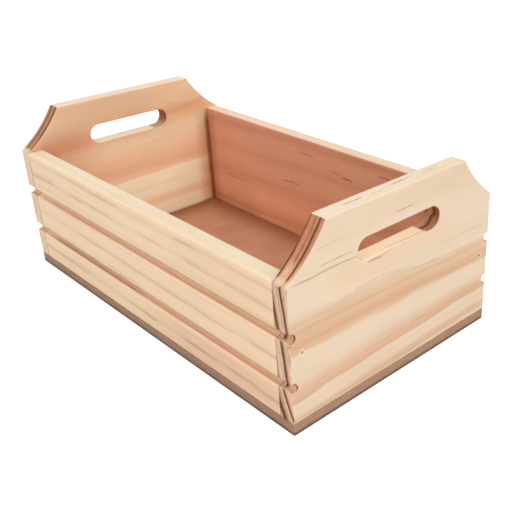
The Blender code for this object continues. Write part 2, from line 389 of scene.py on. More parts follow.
def end_board(label, sign, lo, seed):
    cx = (lo.x + END_T / 2)

    def radius(x, y, side):
        outward = side == sign
        low = y < SIDE_TOP - 1.5 * MM and abs(x) > W2 - 8 * MM
        if y < BASE_T + 1 * MM:
            return 0.65 * MM if outward else 0.25 * MM
        if not outward and low:
            return 0.12 * MM
        return 0.75 * MM

    refine = []
    for n, (a, b) in brads.items():
        if n.startswith("corner_brad_" + label):
            c = (a + b) / 2
            refine.append((c.y, c.z, sign))
    ob = slab("end_board_" + label, [end_outline(), slot_outline()], END_T / 2, lambda v: (cx + v[2], v[0], v[1]),
              radius, 2.2 * MM, 2.0 * MM, seed, refine)

    def dents(p, n):
        d = 0.05 * MM * noise.noise(Vector((p.x * 30, p.y * 14, p.z * 30)) + Vector((seed, seed, 0)))
        if n.x * sign > 0.9:
            for y, z, _ in refine:
                r = math.hypot(p.y - y, p.z - z) / MM
                if r < 4:
                    d += 0.10 * MM * math.exp(-((r - 1.9) / 0.55) ** 2) - 0.16 * MM * math.exp(-(r / 1.25) ** 2)
        return d
    relief(ob, dents)
    mark(ob, refine)
    return ob, refine


def side_board(label, sign, lo, hi, seed):
    half = L2 - END_T - TIGHT

    def radius(x, y, side):
        return 0.12 * MM

    ob = slab("side_board_" + label, [side_outline(sign)], half, lambda v: (v[2], v[0], v[1]), radius, 1.6 * MM, 2.2 * MM, seed)

    def waves(p, n):
        d = 0.07 * MM * noise.noise(Vector((p.x * 12, p.y * 30, p.z * 30)) + Vector((0, seed, seed)))
        if p.z > SIDE_TOP - 3 * MM:
            d += 0.10 * MM * noise.noise(Vector((p.x * 45, p.y * 60, p.z * 60)) + Vector((seed, 0, seed)))
        return d
    relief(ob, waves)
    mark(ob)
    return ob


def bottom_board(seed):
    def radius(x, y, side):
        return 0.2 * MM if side > 0 else 0.3 * MM
    ob = slab("base_board", [base_outline()], BASE_T / 2, lambda v: (v[0], v[1], v[2] + BASE_T / 2), radius, 3.0 * MM, 1.3 * MM, seed)
    mark(ob)
    return ob


def sink(board, holes):
    """Cuts the brad holes: each is (centre, axis, radius, depth) with the axis pointing out of the wood."""
    bm = bmesh.new()
    for c, axis, r, depth in holes:
        rot = Vector((0, 0, 1)).rotation_difference(axis).to_matrix().to_4x4()
        m = Matrix.Translation(c - axis * (depth / 2 - 1 * MM)) @ rot
        bmesh.ops.create_cone(bm, cap_ends=True, segments=28, radius1=r * 0.94, radius2=r, depth=depth + 2 * MM, matrix=m)
    me = bpy.data.meshes.new("bit")
    bm.to_mesh(me)
    bm.free()
    bit = bpy.data.objects.new("bit", me)
    bpy.context.scene.collection.objects.link(bit)
    mod = board.modifiers.new("holes", "BOOLEAN")
    mod.operation, mod.solver, mod.object = "DIFFERENCE", "EXACT", bit
    bpy.context.view_layer.update()
    dg = bpy.context.evaluated_depsgraph_get()
    new = bpy.data.meshes.new_from_object(board.evaluated_get(dg), preserve_all_data_layers=True, depsgraph=dg)
    board.modifiers.clear()
    board.data = new
    bpy.data.objects.remove(bit)


end_r, marks_r = end_board("right", 1, er_lo, 3.1)
end_l, marks_l = end_board("left", -1, el_lo, 8.7)
side_f = side_board("front", -1, sf_lo, sf_hi, 1.9)
side_b = side_board("back", 1, sb_lo, sb_hi, 5.3)
base_b = bottom_board(6.6)
for ob, marks, sign in ((end_r, marks_r, 1), (end_l, marks_l, -1)):
    sink(ob, [(Vector((sign * L2, y, z)), Vector((sign, 0, 0)), 1.02 * MM, 1.3 * MM) for y, z, _ in marks])
sink(base_b, [(Vector(((a.x + b.x) / 2, (a.y + b.y) / 2, 0)), Vector((0, 0, -1)), 1.15 * MM, 1.3 * MM)
              for n, (a, b) in sorted(brads.items()) if n.startswith("base_brad")])


def brad(name, node):
    """A drawn-steel brad: slightly domed and hammered head, short neck, diamond-ish point."""
    a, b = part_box(node)
    size = b - a
    axis = max(range(3), key=lambda i: size[i])
    if axis == 0:
        out = Vector((1 if (a.x + b.x) > 0 else -1, 0, 0))
        head = Vector(((b.x if out.x > 0 else a.x) + out.x * 0.15 * MM, (a.y + b.y) / 2, (a.z + b.z) / 2))
    else:
        out = Vector((0, 0, -1))
        head = Vector(((a.x + b.x) / 2, (a.y + b.y) / 2, a.z - 0.2 * MM))
    length = size[axis]
    prof = [(0.0, -0.02), (0.35, -0.01), (0.62, -0.03), (0.80, -0.08), (0.90, -0.17), (0.93, -0.30), (0.90, -0.43), (0.80, -0.52), (0.66, -0.62), (0.60, -0.75)]
    prof = [(r * MM, z * MM) for r, z in prof]
    prof += [(0.6 * MM, -length * k) for k in (0.25, 0.5, 0.75)] + [(0.6 * MM, -length + 2.2 * MM), (0.34 * MM, -length + 1.1 * MM), (0.0, -length)]
    seg = 24
    bm = bmesh.new()
    rot = Vector((0, 0, 1)).rotation_difference(out).to_matrix()
    seed = sum(ord(c) for c in name)
    rings = []
    for r, z in prof:
        if r == 0:
            rings.append([bm.verts.new(head + rot @ Vector((0, 0, z)))])
        else:
            ring = []
            for i in range(seg):
                t = 2 * math.pi * i / seg
                p = Vector((r * math.cos(t), r * math.sin(t), z))
                if z > -0.6 * MM:
                    p.z += 0.05 * MM * noise.noise(p * 1600 + Vector((seed, 0, 0)))
                ring.append(bm.verts.new(head + rot @ p))
            rings.append(ring)
    for u, v in zip(rings, rings[1:]):
        for i in range(seg):
            j = (i + 1) % seg
            if len(u) == 1:
                bm.faces.new((u[0], v[i], v[j]))
            elif len(v) == 1:
                bm.faces.new((u[i], v[0], u[j]))
            else:
                bm.faces.new((u[i], v[i], v[j], u[j]))
    bmesh.ops.recalc_face_normals(bm, faces=bm.faces)
    me = bpy.data.meshes.new(name)
    bm.to_mesh(me)
    bm.free()
    me.shade_smooth()
    ob = bpy.data.objects.new(name, me)
    bpy.context.scene.collection.objects.link(ob)
    return ob


# ------------------------------------------------------------------ node helpers
class Nodes:
    def __init__(self, name):
        self.mat = bpy.data.materials.new(name)
        self.mat.use_nodes = True
        self.t = self.mat.node_tree
        self.t.nodes.clear()
        self.out = self.node("ShaderNodeOutputMaterial")
        self.bsdf = self.node("ShaderNodeBsdfPrincipled")
        self.t.links.new(self.bsdf.outputs[0], self.out.inputs[0])

    def node(self, kind, **kw):
        n = self.t.nodes.new(kind)
        for k, v in kw.items():
            setattr(n, k, v)
        return n

    def put(self, sock, v):
        if isinstance(v, bpy.types.NodeSocket):
            self.t.links.new(v, sock)
        elif isinstance(v, (tuple, list)):
            sock.default_value = (*v, 1.0) if len(v) == 3 and sock.type == "RGBA" else v
        else:
            sock.default_value = v

    def math(self, op, a, b=0.0, c=0.0, clamp=False):
        n = self.node("ShaderNodeMath", operation=op, use_clamp=clamp)
        self.put(n.inputs[0], a)
        self.put(n.inputs[1], b)
        if op in ("MULTIPLY_ADD", "COMPARE", "SMOOTH_MIN", "SMOOTH_MAX", "WRAP"):
            self.put(n.inputs[2], c)
        return n.outputs[0]

    def add(self, *v):
        out = v[0]
        for x in v[1:]:
            out = self.math("ADD", out, x)
        return out

    def mul(self, *v):
        out = v[0]
        for x in v[1:]:
            out = self.math("MULTIPLY", out, x)
        return out

    def sub(self, a, b):
        return self.math("SUBTRACT", a, b)

    def xyz(self, x, y, z):
        n = self.node("ShaderNodeCombineXYZ")
        for s, v in zip(n.inputs, (x, y, z)):
            self.put(s, v)
        return n.outputs[0]

    def split(self, v):
        n = self.node("ShaderNodeSeparateXYZ")
        self.put(n.inputs[0], v)
        return n.outputs[0], n.outputs[1], n.outputs[2]

    def noise(self, vec, scale=1.0, detail=2.0, rough=0.5, distortion=0.0, colour=False):
        n = self.node("ShaderNodeTexNoise")
        self.put(n.inputs["Vector"], vec)
        n.inputs["Scale"].default_value = scale
        n.inputs["Detail"].default_value = detail
        n.inputs["Roughness"].default_value = rough
        n.inputs["Distortion"].default_value = distortion
        return n.outputs["Color" if colour else "Fac"]

    def voronoi(self, vec, scale=1.0, feature="F1", randomness=1.0):
        n = self.node("ShaderNodeTexVoronoi", feature=feature)
        self.put(n.inputs["Vector"], vec)
        n.inputs["Scale"].default_value = scale
        n.inputs["Randomness"].default_value = randomness
        return n

    def map(self, v, a, b, c=0.0, d=1.0, kind="SMOOTHSTEP"):
        n = self.node("ShaderNodeMapRange", interpolation_type=kind)
        n.clamp = True
        for s, x in zip(n.inputs, (v, a, b, c, d)):
            self.put(s, x)
        return n.outputs[0]

    def mix(self, f, a, b, blend="MIX"):
        n = self.node("ShaderNodeMix", data_type="RGBA", blend_type=blend)
        n.clamp_factor = True
        self.put(n.inputs[0], f)
        self.put(n.inputs[6], a)
        self.put(n.inputs[7], b)
        return n.outputs[2]

    def fmix(self, f, a, b):
        n = self.node("ShaderNodeMix", data_type="FLOAT")
        self.put(n.inputs[0], f)
        self.put(n.inputs[2], a)
        self.put(n.inputs[3], b)
        return n.outputs[0]

    def curve(self, v, pts):
        """A float curve through pts (x in 0..1, y in 0..1), straight between them."""
        n = self.node("ShaderNodeFloatCurve")
        c = n.mapping.curves[0]
        pts = sorted(pts)
        while len(c.points) < len(pts):
            c.points.new(0.5, 0.5)
        for p, (x, y) in zip(c.points, pts):
            p.location = (x, y)
            p.handle_type = "VECTOR"
        n.mapping.use_clip = True
        n.mapping.update()
        self.put(n.inputs["Value"], v)
        return n.outputs[0]

    def ramp(self, v, stops):
        n = self.node("ShaderNodeValToRGB")
        r = n.color_ramp
        while len(r.elements) < len(stops):
            r.elements.new(0.5)
        for e, (x, c) in zip(r.elements, stops):
            e.position = x
            e.color = (*c, 1.0)
        self.put(n.inputs[0], v)
        return n.outputs[0]

    def bright(self, colour, k):
        """colour times the number k."""
        n = self.node("ShaderNodeVectorMath", operation="SCALE")
        self.put(n.inputs[0], colour)
        self.put(n.inputs[3], k)
        return n.outputs[0]


def srgb(r, g, b):
    return tuple(((c / 255 + 0.055) / 1.055) ** 2.4 if c > 10 else c / 255 / 12.92 for c in (r, g, b))


# ------------------------------------------------------------------ pine
def strength(N, s, lo, hi, pts):
    """Late-wood strength along the ring coordinate s in mm, from (s, strength) pairs."""
    pts = sorted(p for p in pts if lo < p[0] < hi)
    pts = [(lo, pts[0][1])] + pts + [(hi, pts[-1][1])]
    return N.curve(N.map(s, lo, hi, 0.0, 1.0, "LINEAR"), [((x - lo) / (hi - lo), y) for x, y in pts])


def ring(edge, height, width, lip=0.22):
    """One ring: sharp at its outer edge, then fading over width towards the pith."""
    return [(edge - lip, 0.0), (edge, height * 0.94), (edge + 0.32 * width, height), (edge + 0.58 * width, height * 0.5), (edge + 0.82 * width, height * 0.14), (edge + width, 0.0)]


def soft(middle, height, up, down):
    """One soft line on a long face: its dark middle, fading upwards over up and downwards over down."""
    return [(middle - down, 0.0), (middle - 0.35 * down, height * 0.55), (middle, height), (middle + 0.3 * up, height * 0.5), (middle + 0.65 * up, height * 0.16), (middle + up, 0.0)]


def pine(name, grain, s_of, face_pts, end_pts, lo, hi, early, late, end_early, end_late, seed, top, streaks=(), warp=(0.55, 0.14),
         tint=None, band_gain=None, end_shift=None, end_tint=None, end_gain=None, slot_floor=(0.0, 0.0, 0.0), outside=None, groove_tint=(0.90, 0.76, 0.66), edge_wear_and_highlight=0.05, figure=1.0, top_marks=(), streak_tint=(0.66, 0.70, 0.76)):
    """Solid pine.  grain is 'X' or 'Y'.  s_of(N, g, a, t) builds the ring coordinate in mm from crate coordinates in mm."""
    N = Nodes(name)
    tc = N.node("ShaderNodeTexCoord").outputs["Object"]
    x, y, z = N.split(tc)
    x, y, z = N.mul(x, 1000.0), N.mul(y, 1000.0), N.mul(z, 1000.0)
    g, t = (x, y) if grain == "X" else (y, x)
    a = z
    geo = N.node("ShaderNodeNewGeometry")
    nx, ny, nz = N.split(geo.outputs["Normal"])
    endness = N.math("ABSOLUTE", nx if grain == "X" else ny)
    upness = N.map(nz, 0.78, 0.93)
    end = N.map(endness, 0.28, 0.62)
    slot = 0.0
    if grain == "Y":
        slot = N.mul(N.map(N.math("ABSOLUTE", y), SLOT_L * 500 + 1.2, SLOT_L * 500 + 2.2, 1.0, 0.0), N.map(N.math("ABSOLUTE", N.sub(z, SLOT_Z * 1000)), SLOT_H * 500 + 1.2, SLOT_H * 500 + 2.2, 1.0, 0.0))
        slot = N.mul(slot, N.map(N.math("ABSOLUTE", nx), 0.75, 0.45))
        tatter = N.mul(N.sub(N.noise(N.xyz(N.mul(x, 0.5), N.mul(y, 0.5), seed), 1.0, 3.0, 0.6), 0.5), 7.0)
        sawn_end = N.mul(slot, N.map(N.add(y, tatter), 22.0, 25.5))
        floor_of_slot = N.mul(slot, N.map(nz, 0.10, 0.45), N.sub(1.0, sawn_end))
        end = N.math("MAXIMUM", N.mul(end, N.sub(1.0, floor_of_slot)), sawn_end)

    off = seed * 13.7
    slow = N.noise(N.xyz(N.mul(g, 0.011), N.mul(a, 0.035), N.add(N.mul(t, 0.05), off)), 1.0, 2.0, 0.5)
    mid = N.noise(N.xyz(N.mul(g, 0.045), N.mul(a, 0.16), N.add(N.mul(t, 0.16), off + 5)), 1.0, 2.0, 0.55)
    s = N.add(s_of(N, g, a, t), N.mul(N.sub(slow, 0.5), 4.0 * warp[0]), N.mul(N.sub(mid, 0.5), 4.0 * warp[1]))
    fine = N.noise(N.xyz(N.mul(g, 0.10), N.mul(a, 1.1), N.add(N.mul(t, 1.1), off + 9)), 1.0, 2.0, 0.6)
    sf = N.add(s, N.mul(N.sub(fine, 0.5), 0.42))
    Lf = strength(N, sf, lo, hi, face_pts)
    if band_gain is not None:
        Lf = N.mul(Lf, band_gain(N, g, a, t))
    se = N.add(s, N.mul(N.sub(fine, 0.5), 0.5))
    if end_shift is not None:
        se = N.add(se, end_shift(N, g, a, t))
    Le = strength(N, se, lo, hi, end_pts)
    if grain == "Y":
        Le = N.math("POWER", Le, N.map(a, 96.5, 99.0, 1.0, 2.4))
    if end_gain is not None:
        Le = N.mul(Le, end_gain(N, g, a, t))

    # long-face colour: slow change of hue, fine lines that follow the rings, fibres
    tone = N.noise(N.xyz(N.mul(g, 0.009), N.mul(a, 0.06), N.add(N.mul(t, 0.06), off + 21)), 1.0, 3.0, 0.55)
    hue = N.noise(N.xyz(N.mul(g, 0.014), N.mul(s, 0.30), N.add(N.mul(a, 0.03), off + 25)), 1.0, 3.0, 0.6)
    sub = N.noise(N.xyz(N.mul(g, 0.006), N.mul(s, 1.5), N.add(N.mul(a, 0.05), off + 27)), 1.0, 3.0, 0.62)
    fibre = N.noise(N.xyz(N.mul(g, 0.035), N.mul(a, 1.5), N.add(N.mul(t, 1.5), off + 31)), 1.0, 4.0, 0.62)
    hair = N.noise(N.xyz(N.mul(g, 0.22), N.mul(a, 6.5), N.add(N.mul(t, 6.5), off + 41)), 1.0, 2.0, 0.6)
    yellow = tuple(c * k for c, k in zip(early, (0.965, 0.965, 0.90)))
    pink = tuple(min(1.0, c * k) for c, k in zip(early, (1.02, 0.985, 1.0)))
    pale = N.mix(N.map(hue, 0.34, 0.66), yellow, pink)
    brown = tuple(c * k for c, k in zip(late, (0.95, 0.90, 0.86)))
    face = N.mix(Lf, pale, N.mix(N.map(sub, 0.42, 0.62), late, brown))
    lines = N.mul(N.map(sub, 0.56, 0.72), N.add(0.35, N.mul(Lf, 0.65)))
    face = N.mix(N.mul(lines, 0.42 * figure), face, brown)
    if tint is not None:
        face = tint(N, face, g, a, t, slow)
    k = N.add(1.0, N.mul(N.sub(tone, 0.5), 0.10 * figure), N.mul(N.sub(fibre, 0.5), 0.13), N.mul(N.sub(hair, 0.5), 0.06))
    face = N.bright(face, k)
    # short resin canals, thin and grey-brown, thicker in the late wood
    canal = N.noise(N.xyz(N.mul(g, 0.060), N.mul(a, 1.35), N.add(N.mul(t, 1.35), off + 51)), 1.0, 1.0, 0.5)
    dash = N.map(N.sub(canal, N.sub(0.756, N.mul(Lf, 0.034))), 0.0, 0.035)
    face = N.mix(N.mul(dash, 0.40), face, tuple(c * q for c, q in zip(late, (0.55, 0.54, 0.52))))
    # single streaks at given places: (g centre, height, half length, half thickness, slope, strength), tapered and broken up
    flat = N.map(N.math("ABSOLUTE", nz), 0.5, 0.2)
    if streaks:
        wav = N.mul(N.sub(N.noise(N.xyz(N.mul(g, 0.07), N.mul(a, 0.11), off), 1.0, 2.0, 0.5), 0.5), 2.4)
        bent = N.sub(a, wav)
        breaks = N.noise(N.xyz(N.mul(g, 0.17), N.mul(a, 1.7), off + 3.0), 1.0, 2.0, 0.6)
        for long, b0, b1 in ((True, 0.22, 0.40), (False, 0.30, 0.54)):
            total = None
            for gc, ac, hl, ht, slope, power in streaks:
                if (hl > 20.0) != long:
                    continue
                across = N.mul(N.math("ABSOLUTE", N.sub(N.sub(bent, ac - gc * slope), N.mul(g, slope))), 1.0 / ht)
                along = N.math("POWER", N.mul(N.sub(g, gc), 1.0 / hl), 4.0)
                one = N.map(N.add(across, along), 0.2, 1.35, power, 0.0)
                total = one if total is None else N.math("MAXIMUM", total, one)
            if total is not None:
                face = N.mix(N.mul(total, flat, N.map(breaks, b0, b1)), face, tuple(c * q for c, q in zip(late, streak_tint)))

    # outside multiplies the outer faces only, so inner and outer faces differ by painted light: the back board's inner
    # face is painted darker and redder as shade and bounce light, the far board's inner face painted lighter
    if outside is not None:
        depth = N.sub(N.math("ABSOLUTE", y), (W2 - SIDE_T) * 1000) if grain == "X" else N.sub(N.math("ABSOLUTE", x), (L2 - END_T) * 1000)
        face = N.mix(N.map(depth, 0.8, 2.4), face, N.mix(1.0, face, outside, "MULTIPLY"))

    # sawn top surfaces: creamy, a little bleached, with short grey flecks
    fleck = N.noise(N.xyz(N.mul(g, 0.085), N.mul(t, 0.85), off + 61), 1.0, 3.0, 0.6)
    wash = N.noise(N.xyz(N.mul(g, 0.03), N.mul(t, 0.22), off + 63), 1.0, 2.0, 0.5)
    topc = N.mix(N.map(wash, 0.35, 0.68), top, tuple(c * q for c, q in zip(top, (1.0, 0.93, 0.84))))
    topc = N.mix(N.mul(N.map(fleck, 0.58, 0.72), 0.24), topc, (0.40, 0.28, 0.19))
    if top_marks:
        total = None
        for gc, tc_, hl, ht, slope, power in top_marks:
            across = N.mul(N.math("ABSOLUTE", N.sub(N.add(N.sub(t, tc_ - gc * slope), N.mul(N.sub(fibre, 0.5), 2.2)), N.mul(g, slope))), 1.0 / ht)
            along = N.math("POWER", N.mul(N.sub(g, gc), 1.0 / hl), 4.0)
            one = N.map(N.add(across, along), 0.2, 1.35, power, 0.0)
            total = one if total is None else N.math("MAXIMUM", total, one)
        gaps = N.noise(N.xyz(N.mul(g, 0.30), N.mul(t, 1.1), off + 65), 1.0, 2.0, 0.6)
        topc = N.mix(N.mul(total, N.map(gaps, 0.36, 0.52)), topc, srgb(150, 112, 84))
    topc = N.bright(topc, k)
    high = N.map(a, TOP_FROM[grain] - 6.0, TOP_FROM[grain] - 3.0)
    face = N.mix(N.mul(upness, high, 0.90), face, topc)
    if grain == "Y":
        # painted light: the slot's up-facing floor takes the paler slot_floor colour, lighter than the face wood
        face = N.mix(N.mul(floor_of_slot, 0.9), face, N.bright(slot_floor, k))
        # a thin dark grey-brown line along the slot's floor, about 3 mm in from the outer face
        slot_floor_line = N.math("ABSOLUTE", N.sub(N.sub(HALF_X, N.math("ABSOLUTE", x)), N.add(3.0, N.mul(y, -0.05), N.mul(N.sub(fibre, 0.5), 2.0))))
        slot_floor_line = N.mul(floor_of_slot, N.map(slot_floor_line, 0.2, 0.8, 1.0, 0.0), N.map(N.math("ABSOLUTE", N.sub(y, 7.0)), 13.0, 18.0, 1.0, 0.0))
        face = N.mix(N.mul(slot_floor_line, 0.45), face, (0.33, 0.24, 0.15))

    # end-grain colour: open cells, rays, dark late wood
    dots = N.voronoi(N.xyz(N.mul(g, 0.3), N.mul(a, 3.2), N.mul(t, 3.2)), 1.0).outputs["Distance"]
    rays = N.noise(N.xyz(N.mul(g, 0.4), N.mul(a, 3.5), N.mul(t, 0.35)), 1.0, 2.0, 0.6)
    blot = N.noise(N.xyz(N.mul(g, 0.3), N.mul(a, 0.16), N.mul(t, 0.35)), 1.0, 3.0, 0.55)
    bare = end_early
    if end_tint is not None:
        bare = end_tint(N, bare, g, a, t, nz)
    lay = N.noise(N.xyz(N.mul(se, 1.35), N.mul(a, 0.05), N.add(N.mul(g, 0.03), off)), 1.0, 4.0, 0.65)
    bare = N.mix(N.mul(N.map(lay, 0.50, 0.70), 0.42), bare, N.mix(1.0, bare, (0.66, 0.50, 0.38), "MULTIPLY"))
    endc = N.mix(Le, bare, end_late)
    endc = N.bright(endc, N.add(0.95, N.mul(N.sub(dots, 0.4), 0.26), N.mul(N.sub(rays, 0.5), 0.26), N.mul(N.sub(blot, 0.5), 0.50)))
    # painted highlight: the end grain at the fold under each shoulder is made pale
    fold_highlight = N.map(N.math("ABSOLUTE", N.sub(a, SIDE_TOP * 1000 + 0.4)), 0.7, 2.4, 1.0, 0.0)
    if grain == "Y":
        endc = N.mix(N.mul(fold_highlight, N.map(N.math("ABSOLUTE", y), 70.0, 76.0), 0.62), endc, srgb(226, 196, 166))
    col = N.mix(end, face, endc)

    # handled edges (partly real wear, partly painted highlight), milled grooves (partly painted shade), painted shade
    # gathered in the inner corners
    eattr = N.node("ShaderNodeAttribute", attribute_name="edge").outputs["Fac"]
    gattr = N.node("ShaderNodeAttribute", attribute_name="groove").outputs["Fac"]
    ax, ay = N.math("ABSOLUTE", x), N.math("ABSOLUTE", y)
    xi, yi = (L2 - END_T) * 1000, (W2 - SIDE_T) * 1000
    reach = N.sub(xi, ax) if grain == "X" else N.sub(yi, ay)
    # painted shade: the inner faces darken towards the inner corners and the floor
    room = N.noise(N.xyz(N.mul(x, 0.07), N.mul(y, 0.07), N.mul(z, 0.07)), 1.0, 3.0, 0.6)
    near = N.add(N.math("MINIMUM", N.add(reach, -0.8), N.sub(a, BASE_T * 1000)), N.mul(N.sub(room, 0.5), 2.0))
    shade = N.add(N.mul(N.map(near, 0.2, 3.2, 1.0, 0.0), 0.66), N.mul(N.map(N.add(reach, N.mul(N.sub(room, 0.5), 5.0)), 0.0, 17.0, 1.0, 0.0), 0.44))
    indoors = N.mul(N.map(ay if grain == "X" else ax, (yi if grain == "X" else xi) + 0.6, (yi if grain == "X" else xi) + 0.3, 0.0, 1.0, "LINEAR"), N.map(a, SIDE_TOP * 1000 + 4.0, SIDE_TOP * 1000 - 16.0))
    corner = N.mul(shade, indoors)
    edge_variation = N.noise(N.xyz(N.mul(x, 0.12), N.mul(y, 0.12), N.mul(z, 0.12)), 1.0, 3.0, 0.6)
    # worn marks the edge brightening: partly real wear on handled edges, partly a painted highlight on rounded edges
    # and the grooves' lower lips
    worn = N.mul(eattr, N.map(edge_variation, 0.35, 0.7))
    if grain == "Y":
        # painted shade: the slot's rounded rim gets no edge brightening and is darkened from y = -8 on; below y = -30
        # it is lightened a little
        rim = N.mul(N.map(N.math("ABSOLUTE", N.sub(z, SLOT_Z * 1000)), SLOT_H * 500 + 1.4, SLOT_H * 500 + 0.9), N.map(N.math("ABSOLUTE", y), SLOT_L * 500 + 1.4, SLOT_L * 500 + 0.9))
        worn = N.mul(worn, N.sub(1.0, rim))
        col = N.bright(col, N.add(1.0, N.mul(rim, N.mul(eattr, N.map(y, -30.0, -8.0, 0.05, -0.07)))))
    col = N.bright(col, N.add(1.0, N.mul(worn, edge_wear_and_highlight)))
    # groove walls: darker and redder, partly the milled wood's own colour, partly painted shade
    patch = N.noise(N.xyz(N.mul(g, 0.02), N.mul(a, 0.06), off + 71), 1.0, 2.0, 0.5)
    milled = N.mix(1.0, col, groove_tint, "MULTIPLY")
    milled = N.mix(N.mul(N.map(patch, 0.45, 0.65), 0.35), milled, N.mix(1.0, milled, (1.0, 0.80, 0.80), "MULTIPLY"))
    if grain == "X":
        deeper = N.mul(N.map(a, 42.0, 38.0), N.map(g, 6.0, -14.0))
        milled = N.mix(deeper, milled, N.mix(1.0, milled, (0.80, 0.70, 0.66), "MULTIPLY"))
        gattr = N.mul(gattr, N.map(g, -150.0, -118.0, 0.35, 1.0))
    col = N.mix(gattr, col, milled)
    fuzz = N.noise(N.xyz(N.mul(x, 0.5), N.mul(y, 2.2), N.mul(z, 2.2)), 1.0, 3.0, 0.6)
    col = N.bright(col, N.sub(1.0, N.mul(gattr, N.mul(N.map(fuzz, 0.4, 0.75), 0.14))))
    # painted shade in the inner corners
    col = N.mix(corner, col, N.mix(1.0, col, (0.44, 0.26, 0.17), "MULTIPLY"))
    pale_ring = N.node("ShaderNodeAttribute", attribute_name="crush").outputs["Fac"]
    col = N.mix(N.mul(pale_ring, 0.6), col, srgb(247, 232, 208))
    N.put(N.bsdf.inputs["Base Color"], col)

    rough = N.fmix(end, N.sub(N.add(0.56, N.mul(N.sub(fibre, 0.5), 0.22)), N.mul(Lf, 0.08)), 0.78)
    rough = N.sub(rough, N.mul(worn, 0.10))
    N.put(N.bsdf.inputs["Roughness"], rough)
    N.put(N.bsdf.inputs["Specular IOR Level"], N.fmix(end, 0.32, 0.14))
    # relief: raised late wood, fibres, faint planer ripple, open end grain
    ripple = N.math("SINE", N.mul(N.add(g, N.mul(N.sub(tone, 0.5), 6.0)), 2 * math.pi / 3.4))
    hface = N.add(N.mul(Lf, 0.30), N.mul(fibre, 0.60), N.mul(hair, 0.40), N.mul(sub, 0.35), N.mul(ripple, 0.05), N.mul(dash, -0.5))
    hend = N.add(N.mul(Le, 0.8), N.mul(dots, 1.1), N.mul(rays, 0.8))
    h = N.add(N.fmix(end, hface, hend), N.mul(gattr, N.mul(fuzz, 0.9)))
    bump = N.node("ShaderNodeBump")
    bump.inputs["Strength"].default_value = 0.6
    bump.inputs["Distance"].default_value = 0.00014
    N.put(bump.inputs["Height"], h)
    N.t.links.new(bump.outputs[0], N.bsdf.inputs["Normal"])
    return N.mat


TOP_FROM = {"X": SIDE_TOP * 1000, "Y": TOP * 1000}
EARLY = srgb(225, 205, 181)
LATE = srgb(213, 170, 134)
END_EARLY = srgb(230, 193, 165)
END_LATE = srgb(114, 64, 30)
K, PITH = 550.0, 130.0


def rise_of(N, a):
    d = N.sub(PITH, a)
    return N.mul(N.mul(d, d), 1.0 / K)


# near end board: the pith is above and towards the near face, so rings lean out as they go down
def near_s(N, g, a, t):
    lean = N.mul(g, N.map(a, 27.0, 53.0, -0.013, 0.005, "LINEAR"))
    return N.add(N.sub(N.sub(t, er_lo.x * 1000), rise_of(N, a)), lean)


def near_contour(N, g):
    """Height in mm of the wavy upper limit of the wide band."""
    pts = [(-90, 74.6), (-62, 74.2), (-50, 74.8), (-38, 76.8), (-20, 77.2), (-4, 76.2), (8, 72.6), (18, 69.6), (32, 69.0), (60, 67.6), (90, 67.0)]
    return N.add(60.0, N.mul(20.0, N.curve(N.map(g, -90.0, 90.0, 0.0, 1.0, "LINEAR"), [((u + 90) / 180, (v - 60) / 20) for u, v in pts])))


def near_gain(N, g, a, t):
    over = N.map(N.sub(a, near_contour(N, g)), -1.2, 0.9)
    return N.mul(N.map(a, 100.0, 84.0, 0.10, 1.0), N.sub(1.0, N.mul(over, N.map(a, 62.0, 65.0), N.map(g, -70.0, -40.0, 0.45, 0.90))))


def near_tint(N, face, g, a, t, slow):
    away = N.math("ABSOLUTE", N.add(N.sub(a, near_contour(N, g)), N.mul(N.sub(slow, 0.5), 1.0)))
    edge = N.mul(N.map(away, 0.15, 0.75, 1.0, 0.0), N.map(g, -56.0, -44.0), N.map(N.noise(N.xyz(N.mul(g, 0.06), 4.1, 0.7), 1.0, 2.0, 0.5), 0.36, 0.56, 0.25, 1.0))
    face = N.mix(N.mul(edge, 0.50), face, tuple(c * q for c, q in zip(LATE, (0.86, 0.84, 0.84))))
    face = N.mix(N.map(a, 106.0, 114.0, 0.0, 0.8), face, N.mix(1.0, face, (0.97, 0.93, 0.90), "MULTIPLY"))
    under = N.mul(N.map(a, 76.0, 84.0), N.map(a, 101.0, 93.0), N.map(g, -66.0, -44.0), N.map(g, 60.0, 42.0))
    face = N.mix(under, face, N.mix(1.0, face, (1.0, 0.945, 0.885), "MULTIPLY"))
    # the knot-like eddy in the band
    dx, dz = N.sub(g, 27.5), N.mul(N.sub(a, 62.5), 1.25)
    r = N.math("SQRT", N.add(N.mul(dx, dx), N.mul(dz, dz)))
    eddy = N.mul(N.map(r, 4.6, 3.0, 0.0, 1.0), N.map(N.math("SINE", N.mul(r, 3.0)), 0.2, 0.9, 0.25, 1.0))
    face = N.mix(N.mul(eddy, 0.30), face, N.mix(1.0, face, (1.10, 1.14, 1.12), "MULTIPLY"))
    # painted highlight: a pale line along the outer face's lower rounded edge, just above the base
    lip = N.mul(N.map(a, 9.3, 8.9), N.map(t, 158.6, 159.4))
    return N.mix(N.mul(lip, 0.5), face, srgb(250, 232, 206))


def end_lines(*rings):
    pts = []
    for r in rings:
        pts += ring(*r)
    return pts


